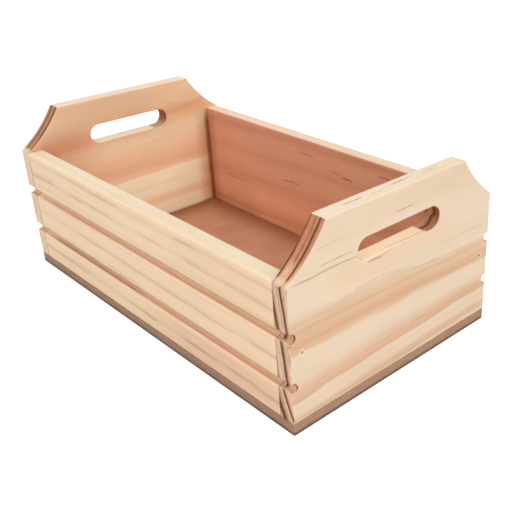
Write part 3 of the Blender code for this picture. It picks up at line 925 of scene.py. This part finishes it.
near_face = [(-27.6, 0.0), (-27.2, 0.8), (-25.5, 0.4), (-24.0, 0.0), (-22.4, 0.0), (-22.0, 0.85), (-20.0, 0.55), (-18.0, 0.15), (-16.2, 0.0),
             (-15.2, 0.20), (-14.5, 0.30), (-14.1, 0.80), (-13.6, 0.85), (-12.7, 0.75), (-12.1, 0.35), (-11.2, 0.10), (-8.4, 0.04), (-8.0, 0.0), (-7.65, 0.80), (-7.2, 1.0), (-6.4, 0.82),
             (-5.2, 0.62), (-4.1, 0.38), (-3.2, 0.14), (-2.2, 0.0), (0.75, 0.0), (1.1, 0.45), (1.7, 0.88), (2.6, 0.98), (3.0, 1.0),
             (3.4, 0.70), (4.2, 0.66), (4.75, 0.80), (5.1, 0.50), (5.9, 0.42), (6.5, 0.46), (6.9, 0.10), (7.3, 0.0)]
near_end = end_lines((2.7, 1.0, 3.6), (0.6, 0.32, 1.4), (-5.2, 1.0, 4.2), (-13.4, 1.0, 3.6), (-22.8, 1.0, 7.6), (9.0, 0.4, 1.8))


def shoulder_shift(N, g, a, t):
    above = N.map(a, 96.2, 98.8)
    middle = N.mul(N.map(a, 61.0, 37.0, 0.0, 2.4, "LINEAR"), N.math("GREATER_THAN", a, 33.0))
    return N.add(N.mul(above, N.sub(rise_of(N, a), 4.6)), middle)


def shoulder_tint(dark, slot_end_shade):
    def f(N, bare, g, a, t, nz):
        ag = N.math("ABSOLUTE", g)
        above = N.map(a, 98.5, 101.5)
        slot = N.mul(N.map(ag, SLOT_L * 500 + 1.0, SLOT_L * 500 + 3.0, 1.0, 0.0), N.map(a, 90.0, 91.5))
        above = N.mul(above, N.sub(1.0, slot))
        c = N.mix(above, bare, N.mix(1.0, bare, N.mix(N.map(a, 109.0, 103.5), dark, (0.86, 0.74, 0.65)), "MULTIPLY"))
        line = N.math("ABSOLUTE", N.sub(N.sub(HALF_X, N.math("ABSOLUTE", t)), 6.5))
        c = N.mix(N.mul(above, N.map(line, 0.4, 1.5, 1.0, 0.0), N.map(a, 105.5, 110.0)), c, N.mix(1.0, c, (0.79, 0.68, 0.64), "MULTIPLY"))
        # painted shade: the end grain inside the slot is darkened, more strongly towards the outer face
        out = N.mul(N.map(N.sub(HALF_X, N.math("ABSOLUTE", t)), 7.0, 4.6), N.map(a, 93.0, 99.0, 0.55, 1.0))
        c = N.mix(slot, c, N.mix(1.0, c, (0.74, 0.55, 0.44), "MULTIPLY"))
        return N.mix(N.mul(slot, out), c, N.mix(1.0, c, slot_end_shade, "MULTIPLY"))
    return f


mat_near = pine("pine_end_right", "Y", near_s, near_face, near_end, -42.0, 14.0, EARLY, LATE, END_EARLY, END_LATE, 1.0, srgb(222, 207, 185),
                band_gain=near_gain, tint=near_tint, slot_floor=srgb(254, 228, 195), end_shift=shoulder_shift, end_tint=shoulder_tint((0.70, 0.475, 0.37), (0.56, 0.44, 0.38)),
                top_marks=[(-34.0, 153.4, 9.0, 0.8, 0.03, 0.85), (-15.0, 154.4, 6.0, 0.6, 0.02, 0.55), (7.0, 152.8, 12.0, 0.8, -0.02, 0.85), (32.0, 154.0, 8.0, 0.6, 0.02, 0.5)],
                streaks=[(3.0, 114.3, 9.0, 0.8, 0.0, 0.85), (-58.0, 113.2, 13.0, 0.5, 0.01, 0.30), (-53.0, 101.8, 15.0, 0.6, 0.0, 0.80), (-77.0, 97.6, 9.0, 0.5, 0.0, 0.6),
                         (-62.0, 98.0, 27.0, 0.60, 0.0, 0.80), (-36.0, 97.8, 9.0, 0.5, 0.0, 0.5), (-27.0, 91.6, 4.5, 0.6, -0.30, 0.75), (-22.0, 90.2, 7.0, 0.9, -0.02, 0.85), (-20.0, 91.4, 6.0, 0.5, 0.06, 0.7), (-12.0, 91.3, 6.0, 0.5, 0.10, 0.6), (0.0, 92.0, 6.0, 0.5, -0.20, 0.6),
                         (62.0, 77.4, 30.0, 0.5, -0.005, 0.32), (-30.0, 67.0, 22.0, 0.4, 0.0, 0.22), (-20.0, 60.4, 30.0, 0.5, -0.01, 0.30),
                         (27.0, 69.3, 10.0, 0.40, -0.04, 0.30), (18.0, 31.6, 9.0, 0.6, -0.05, 0.5), (42.0, 27.4, 9.0, 0.7, 0.05, 0.5)])


# far end board
def far_s(N, g, a, t):
    lean = N.mul(g, N.map(a, 74.0, 92.0, -0.002, -0.011, "LINEAR"))
    return N.add(N.sub(N.mul(N.sub(t, el_hi.x * 1000), -1.0), rise_of(N, a)), lean)


far_face = [(-27.0, 0.10), (-24.0, 0.05), (-21.8, 0.10), (-21.2, 0.45), (-20.2, 0.66), (-18.9, 0.50), (-18.1, 0.15), (-17.0, 0.0), (-15.5, 0.0), (-15.1, 0.20), (-14.4, 0.02),
            (-12.0, 0.02), (-11.4, 0.10), (-10.9, 0.62), (-9.8, 0.74), (-8.6, 0.64), (-7.6, 0.58), (-6.4, 0.46), (-5.4, 0.34), (-4.2, 0.24),
            (-3.4, 0.22), (-2.7, 0.62), (-1.8, 0.80), (-1.0, 0.66), (-0.6, 0.42), (0.2, 0.30), (2.0, 0.5), (2.6, 0.0)]
far_end = end_lines((2.6, 1.0, 2.6), (-3.4, 1.0, 3.2), (-11.3, 1.0, 3.2), (-21.0, 1.0, 3.4), (8.2, 0.9, 3.0))


def far_tint(N, face, g, a, t, slow):
    face = N.mix(N.map(a, 50.0, 62.0), face, N.mix(1.0, face, (0.94, 0.87, 0.81), "MULTIPLY"))
    # painted shade: a strong reddish darkening on the inner face near the back corner, low down, with reddish bounce
    # light
    back_corner_shade = N.mul(N.map(g, 61.0, 79.5), N.map(a, 58.0, 42.0), N.map(t, -151.5, -150.0))
    face = N.mix(back_corner_shade, face, N.mix(1.0, face, (0.93, 0.62, 0.43), "MULTIPLY"))
    inner = N.map(t, -151.5, -150.0)
    # painted bounce light: a reddish tint on the inner face's front half, strongest just below the side boards' top,
    # for light reflected from the front board
    front_board_bounce = N.mul(N.map(N.add(g, N.mul(N.sub(slow, 0.5), 30.0)), -16.0, -66.0), N.map(a, 114.0, 98.0), N.map(a, 66.0, 90.0, 0.22, 0.80), inner)
    face = N.mix(front_board_bounce, face, N.mix(1.0, face, (0.80, 0.60, 0.59), "MULTIPLY"))
    low = N.math("ABSOLUTE", N.sub(a, N.sub(107.0, N.mul(g, 0.05))))
    face = N.mix(N.mul(N.map(low, 7.0, 1.5), N.map(g, 24.0, 44.0), inner), face, N.mix(1.0, face, (0.94, 0.87, 0.84), "MULTIPLY"))
    left = N.mul(N.map(a, 97.0, 110.0), N.map(g, 60.0, -20.0))
    face = N.mix(left, face, N.mix(1.0, face, (0.92, 0.84, 0.84), "MULTIPLY"))
    return N.mix(N.map(a, 52.0, 60.0), face, N.mix(1.0, face, (0.98, 0.95, 0.94), "MULTIPLY"))


# painted highlight: below the shoulders the far board's end grain is a plain pale cream, with its ring lines faded by
# end_gain; the shoulders keep a dark end grain
def far_end_tint(N, bare, g, a, t, nz):
    c = N.mix(N.map(a, 98.5, 100.5), srgb(246, 217, 188), N.mix(1.0, bare, (0.60, 0.46, 0.34), "MULTIPLY"))
    slot = N.mul(N.map(N.math("ABSOLUTE", g), SLOT_L * 500 + 1.0, SLOT_L * 500 + 3.0, 1.0, 0.0), N.map(a, 90.0, 91.5))
    return N.mix(slot, c, N.mix(N.map(a, 92.0, 97.0), srgb(218, 168, 128), srgb(180, 124, 80)))


# the far board's early and late colours are paler than the wood's: painted light on its inner face; outside darkens its
# outer faces back
mat_far = pine("pine_end_left", "Y", far_s, far_face, far_end, -42.0, 14.0, srgb(255, 246, 217), srgb(246, 196, 152), END_EARLY, srgb(96, 50, 20), 4.0,
               srgb(228, 211, 195), tint=far_tint, outside=(0.80, 0.71, 0.71), slot_floor=srgb(252, 240, 214), end_shift=shoulder_shift, end_tint=far_end_tint, end_gain=lambda N, g, a, t: N.map(a, 97.0, 100.0, 0.10, 1.0))


def rift(t_face, t_gain, tilt, sign):
    """Ring coordinate of a side board: height, leaning with depth below the outer face, drifting along the board."""
    def f(N, g, a, t):
        return N.add(a, N.mul(N.sub(t, t_face), sign * t_gain), N.mul(g, tilt))
    return f


def front_tint(N, face, g, a, t, slow):
    low = N.mul(N.map(a, 31.0, 24.0), N.map(g, -30.0, 70.0))
    face = N.mix(N.mul(low, 0.80), face, N.mix(1.0, face, (0.92, 0.80, 0.80), "MULTIPLY"))
    face = N.mix(N.map(g, 0.0, 110.0, 0.0, 0.5), face, N.mix(1.0, face, (0.95, 0.92, 0.92), "MULTIPLY"))
    worn = N.mul(N.map(a, 60.0, 74.0), N.map(g, 20.0, 120.0))
    return N.mix(N.mul(worn, 0.40), face, N.mix(1.0, face, (0.97, 0.90, 0.86), "MULTIPLY"))


def front_gain(N, g, a, t):
    return N.map(N.noise(N.xyz(N.mul(g, 0.024), N.mul(a, 0.10), 3.3), 1.0, 2.0, 0.55), 0.36, 0.60, 0.28, 0.92)


front_face = (soft(5.5, 0.45, 4.0, 1.6) + soft(17.7, 0.80, 4.0, 2.0) + soft(37.0, 0.30, 2.2, 1.6) + soft(49.0, 0.62, 4.2, 2.2) + soft(60.0, 0.24, 2.6, 1.6)
              + soft(71.5, 0.28, 2.4, 1.8) + soft(80.6, 0.66, 4.0, 2.4) + soft(92.4, 0.62, 3.2, 2.2) + soft(105.0, 0.6, 5.0, 2.0) + soft(117.0, 0.6, 5.0, 2.0))
side_end = end_lines((5.0, 1.0, 3.0), (18.0, 1.0, 3.0), (33.0, 1.0, 3.0), (49.0, 1.0, 3.0), (65.0, 1.0, 3.0), (81.0, 1.0, 3.0), (92.0, 1.0, 3.0), (107.0, 1.0, 3.0), (118.0, 1.0, 3.0))
mat_front = pine("pine_side_front", "X", rift(-W2 * 1000, 1.6, 0.0075, 1.0), front_face, side_end, -4.0, 128.0,
                 srgb(249, 222, 189), srgb(208, 166, 131), END_EARLY, END_LATE, 7.0, srgb(220, 206, 181), warp=(0.9, 0.62), band_gain=front_gain, tint=front_tint,
                 groove_tint=(0.78, 0.60, 0.555),
                 streaks=[(10.0, 16.6, 9.0, 0.9, -0.04, 0.85), (70.0, 17.4, 22.0, 0.7, 0.01, 0.75), (112.0, 18.2, 18.0, 0.6, 0.0, 0.6), (-80.0, 21.4, 20.0, 0.5, -0.02, 0.45),
                          (-20.0, 38.2, 26.0, 0.7, 0.0, 0.4)])

back_face = (soft(12.0, 0.7, 9.0, 7.0) + soft(36.0, 0.7, 13.0, 6.0) + soft(66.0, 0.5, 12.0, 10.0) + soft(90.0, 0.40, 8.0, 7.0) + soft(112.0, 0.5, 9.0, 7.0))
def back_tint(N, face, g, a, t, slow):
    return N.mix(N.mul(N.map(a, 46.0, 28.0), N.map(g, -98.0, -72.0)), face, N.mix(1.0, face, (1.12, 1.08, 1.10), "MULTIPLY"))


# the back board's early and late colours are darker and redder than the wood's: painted shade and bounce light on its
# inner face; outside brings its outer faces back to pale pine
mat_back = pine("pine_side_back", "X", rift(W2 * 1000, 1.6, -0.012, -1.0), back_face, side_end, -4.0, 128.0,
                srgb(223, 165, 134), srgb(201, 135, 104), END_EARLY, END_LATE, 11.0, srgb(224, 198, 175), warp=(2.4, 1.1), figure=1.8, tint=back_tint, outside=(1.25, 1.86, 2.02), streak_tint=(0.60, 0.50, 0.47),
                streaks=[(-32.0, 56.0, 12.0, 1.1, 0.02, 0.75), (34.0, 76.8, 8.0, 1.0, 0.0, 1.0), (22.0, 78.6, 7.0, 0.6, 0.0, 0.5), (78.0, 88.0, 10.0, 0.9, -0.02, 0.75), (-112.0, 40.0, 19.0, 1.9, 0.03, 0.32), (-14.0, 85.5, 12.0, 1.0, 0.0, 0.5),
                         (-136.0, 90.0, 7.0, 0.8, 0.0, 0.5)])


# ------------------------------------------------------------------ fibreboard
def fibreboard(name):
    N = Nodes(name)
    tc = N.node("ShaderNodeTexCoord").outputs["Object"]
    x, y, z = N.split(tc)
    x, y, z = N.mul(x, 1000.0), N.mul(y, 1000.0), N.mul(z, 1000.0)
    geo = N.node("ShaderNodeNewGeometry")
    _, ny, nz = N.split(geo.outputs["Normal"])
    side = N.map(N.math("ABSOLUTE", nz), 0.75, 0.35)
    felt = N.noise(N.xyz(N.mul(x, 0.9), N.mul(y, 0.9), N.mul(z, 2.4)), 1.0, 5.0, 0.65)
    cloud = N.noise(N.xyz(N.mul(x, 0.05), N.mul(y, 0.05), N.mul(z, 0.05)), 1.0, 3.0, 0.5)
    chips = N.voronoi(N.xyz(N.mul(x, 1.6), N.mul(y, 1.6), N.mul(z, 3.5)), 1.0).outputs["Color"]
    chip, _, _ = N.split(chips)
    top = N.mix(N.map(cloud, 0.3, 0.7), srgb(195, 142, 113), srgb(186, 130, 101))
    edge_c = N.mix(N.map(N.noise(N.xyz(N.mul(x, 0.12), N.mul(y, 0.12), N.mul(z, 1.4)), 1.0, 4.0, 0.6), 0.3, 0.7), srgb(177, 142, 117), srgb(156, 121, 98))
    # painted shadow: the edges darken over their lowest few millimetres, a contact shadow at the floor
    edge_c = N.mix(N.map(N.add(z, N.mul(N.sub(N.noise(N.xyz(N.mul(x, 0.25), N.mul(y, 0.25), 0.0), 1.0, 3.0, 0.6), 0.5), 2.0)), 3.4, 0.8, 0.0, 0.92), edge_c, srgb(92, 76, 66))
    edge_c = N.bright(edge_c, N.add(1.0, N.mul(N.sub(N.noise(N.xyz(N.mul(x, 0.35), N.mul(y, 0.35), N.mul(z, 0.8)), 1.0, 4.0, 0.7), 0.5), 0.30)))
    col = N.mix(side, top, edge_c)
    col = N.bright(col, N.add(0.90, N.mul(felt, 0.14), N.mul(chip, 0.07)))
    # painted shade: the edges that face -y are made slightly cooler
    col = N.mix(N.mul(side, N.map(ny, -0.4, -0.9), 0.8), col, N.mix(1.0, col, (0.97, 1.0, 1.02), "MULTIPLY"))
    # painted shade: the top face darkens within about 26 mm of the walls
    wall_x = N.sub((L2 - END_T) * 1000, N.math("ABSOLUTE", x))
    wall_y = N.sub((W2 - SIDE_T) * 1000, N.math("ABSOLUTE", y))
    wall = N.math("MINIMUM", wall_x, wall_y)
    wall = N.add(wall, N.mul(N.sub(cloud, 0.5), 10.0))
    painted_wall_shade = N.mul(N.map(nz, 0.5, 0.9), N.map(wall, 0.0, 26.0, 1.0, 0.0))
    col = N.mix(painted_wall_shade, col, N.mix(1.0, col, (0.66, 0.50, 0.40), "MULTIPLY"))
    N.put(N.bsdf.inputs["Base Color"], col)
    N.put(N.bsdf.inputs["Roughness"], N.fmix(side, N.add(0.52, N.mul(felt, 0.2)), 0.86))
    N.put(N.bsdf.inputs["Specular IOR Level"], 0.3)
    bump = N.node("ShaderNodeBump")
    bump.inputs["Strength"].default_value = 0.6
    bump.inputs["Distance"].default_value = 0.00016
    N.put(bump.inputs["Height"], N.add(felt, N.mul(chip, 0.4)))
    N.t.links.new(bump.outputs[0], N.bsdf.inputs["Normal"])
    return N.mat


def steel(name):
    N = Nodes(name)
    tc = N.node("ShaderNodeTexCoord").outputs["Object"]
    x, y, z = N.split(tc)
    v = N.xyz(N.mul(x, 1000.0), N.mul(y, 1000.0), N.mul(z, 1000.0))
    smear = N.noise(v, 2.2, 4.0, 0.6)
    pits = N.noise(v, 9.0, 2.0, 0.6)
    col = N.mix(N.map(smear, 0.3, 0.75), (0.66, 0.60, 0.52), (0.40, 0.34, 0.28))
    N.put(N.bsdf.inputs["Base Color"], col)
    N.put(N.bsdf.inputs["Metallic"], 1.0)
    N.put(N.bsdf.inputs["Roughness"], N.add(0.28, N.mul(smear, 0.3)))
    bump = N.node("ShaderNodeBump")
    bump.inputs["Strength"].default_value = 0.4
    bump.inputs["Distance"].default_value = 0.00004
    N.put(bump.inputs["Height"], N.add(pits, smear))
    N.t.links.new(bump.outputs[0], N.bsdf.inputs["Normal"])
    return N.mat


mat_base = fibreboard("fibreboard_base")
mat_steel = steel("drawn_steel")


# ------------------------------------------------------------------ put the pieces on the frame
def place(ob, mat, slot, *nodes):
    ob.data.materials.clear()
    ob.data.materials.append(mat)
    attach(ob, "root")
    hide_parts(*nodes)


place(end_r, mat_near, "end_board_pine", "end_panel_right")
place(end_l, mat_far, "end_board_pine", "end_panel_left")
place(side_f, mat_front, "side_board_pine", "side_panel_front")
place(side_b, mat_back, "side_board_pine", "side_panel_back")
place(base_b, mat_base, "base_fibreboard", "base_panel")
for n in sorted(brads):
    place(brad(n.replace("brad", "pin"), n), mat_steel, "brad_steel", n)

# ------------------------------------------------------------------ floor, light, camera
N = Nodes("studio_floor")
seen = N.node("ShaderNodeLightPath").outputs["Is Camera Ray"]
N.put(N.bsdf.inputs["Base Color"], (0.74, 0.73, 0.72))
N.put(N.bsdf.inputs["Roughness"], 0.8)
N.put(N.bsdf.inputs["Specular IOR Level"], 0.05)
N.put(N.bsdf.inputs["Emission Color"], (1.0, 1.0, 1.0))
N.put(N.bsdf.inputs["Emission Strength"], N.mul(seen, 0.50))
bm = bmesh.new()
bmesh.ops.create_grid(bm, x_segments=8, y_segments=8, size=6.0)
me = bpy.data.meshes.new("studio_floor")
bm.to_mesh(me)
bm.free()
floor = bpy.data.objects.new("studio_floor", me)
floor.location = (0, 0, -0.05 * MM)
bpy.context.scene.collection.objects.link(floor)
me.materials.append(N.mat)

# a light tent: brighter overhead than at the horizon, plain white where the camera sees it
world = bpy.data.worlds.new("studio")
bpy.context.scene.world = world
world.use_nodes = True
wt = world.node_tree
back = wt.nodes["Background"]
path = wt.nodes.new("ShaderNodeLightPath")
ray = wt.nodes.new("ShaderNodeTexCoord")
split = wt.nodes.new("ShaderNodeSeparateXYZ")
wt.links.new(ray.outputs["Generated"], split.inputs[0])
rise = wt.nodes.new("ShaderNodeMapRange")
rise.inputs[1].default_value, rise.inputs[2].default_value = 0.0, 0.9
rise.inputs[3].default_value, rise.inputs[4].default_value = SKY_LOW, SKY_HIGH
wt.links.new(split.outputs[2], rise.inputs[0])
pick = wt.nodes.new("ShaderNodeMix")
wt.links.new(path.outputs["Is Camera Ray"], pick.inputs[0])
wt.links.new(rise.outputs[0], pick.inputs[2])
pick.inputs[3].default_value = 1.0
wt.links.new(pick.outputs[0], back.inputs[1])
back.inputs[0].default_value = (1.0, 1.0, 1.0, 1.0)


def area(name, at, target, size, power, colour=(1, 1, 1)):
    d = bpy.data.lights.new(name, "AREA")
    d.energy, d.size, d.color, d.shape = power, size, colour, "DISK"
    o = bpy.data.objects.new(name, d)
    o.location = at
    o.rotation_mode = "QUATERNION"
    o.rotation_quaternion = (Vector(target) - Vector(at)).to_track_quat("-Z", "Y")
    bpy.context.scene.collection.objects.link(o)
    return o


area("key", (1.40, 0.45, 0.95), (0, 0, 0.05), 0.7, KEY)
area("soft_key", (1.45, -0.55, 0.70), (0, 0, 0.05), 0.8, SOFT_KEY)
area("front_fill", (0.60, -1.55, 0.95), (0, 0, 0.05), 0.9, FILL)

# camera: the fitted viewpoint; the photo is an off-centre crop, so the lens is shifted at that viewpoint only
EYE = (0.435567, -0.313445, 0.299250)
RIGHT, UP, AHEAD = (0.699214, 0.714647, -0.019486), (-0.303410, 0.321318, 0.897049), (-0.647335, 0.621317, -0.441501)
cam_data = bpy.data.cameras.new("camera")
cam = bpy.data.objects.new("camera", cam_data)
bpy.context.scene.collection.objects.link(cam)
bpy.context.scene.camera = cam
turn = Matrix([RIGHT, UP, [-v for v in AHEAD]]).transposed().to_4x4()
cam.rotation_mode = "QUATERNION"
cam.matrix_world = Matrix.Translation(EYE) @ turn
cam_data.sensor_width = 36.0
cam_data.lens = 54.590
cam_data.clip_start, cam_data.clip_end = 0.01, 60.0
for path, value in (("shift_x", -0.167186), ("shift_y", -0.029145)):
    drv = cam_data.driver_add(path).driver
    drv.type = "SCRIPTED"
    for key in "xyz":
        var = drv.variables.new()
        var.name, var.type = key, "TRANSFORMS"
        var.targets[0].id = cam
        var.targets[0].transform_type = "LOC_" + key.upper()
        var.targets[0].transform_space = "WORLD_SPACE"
    drv.expression = "%.6f if abs(x - %.6f) + abs(y - (%.6f)) + abs(z - %.6f) < 0.0005 else 0.0" % ((value,) + EYE)

scene = bpy.context.scene
scene.view_settings.view_transform = "Standard"
scene.view_settings.look = "None"
scene.view_settings.exposure = 0.0
scene.view_settings.gamma = 1.0
